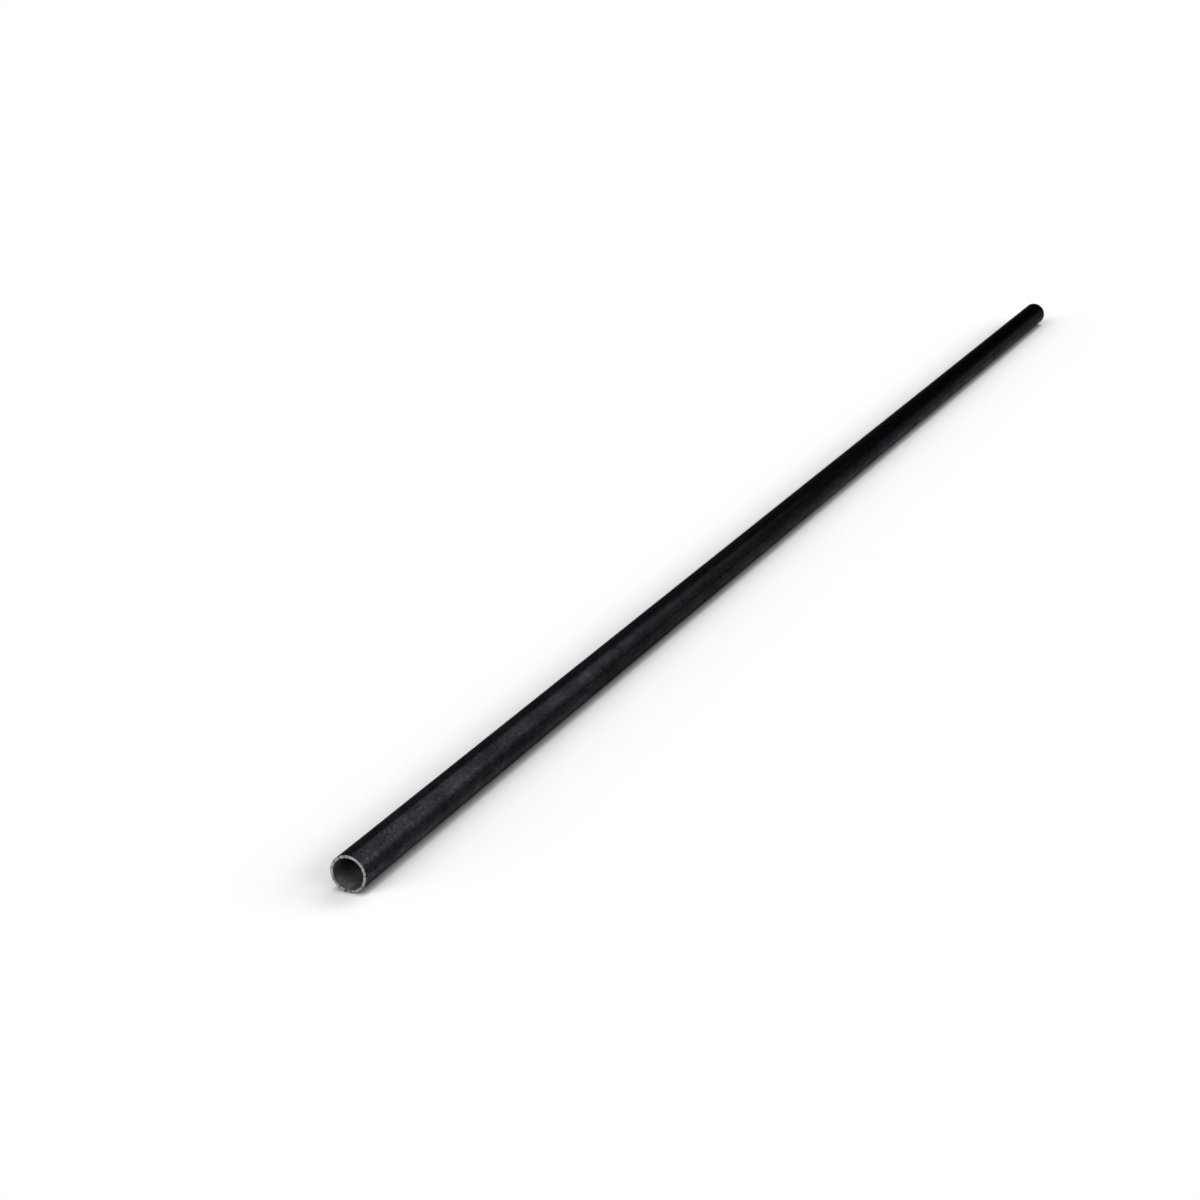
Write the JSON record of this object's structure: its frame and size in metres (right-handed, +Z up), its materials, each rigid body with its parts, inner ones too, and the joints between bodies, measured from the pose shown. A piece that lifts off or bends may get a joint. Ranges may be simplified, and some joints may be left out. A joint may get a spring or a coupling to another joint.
{
  "type": "steel tube",
  "caption": "Straight length of round steel tube with a dark mill-scale skin, a through bore and plain sawn ends, raw stock for frames, rails and posts.",
  "frame": {"origin": "on the floor, under the middle of the tube's length", "axes": "+X along the tube's axis, +Z up"},
  "size_m": [2, 0.03, 0.03],
  "materials": {
    "mill_scale_steel": "satin"
  },
  "bodies": {
    "root": {"tube": "mill_scale_steel"}
  },
  "joints": []
}
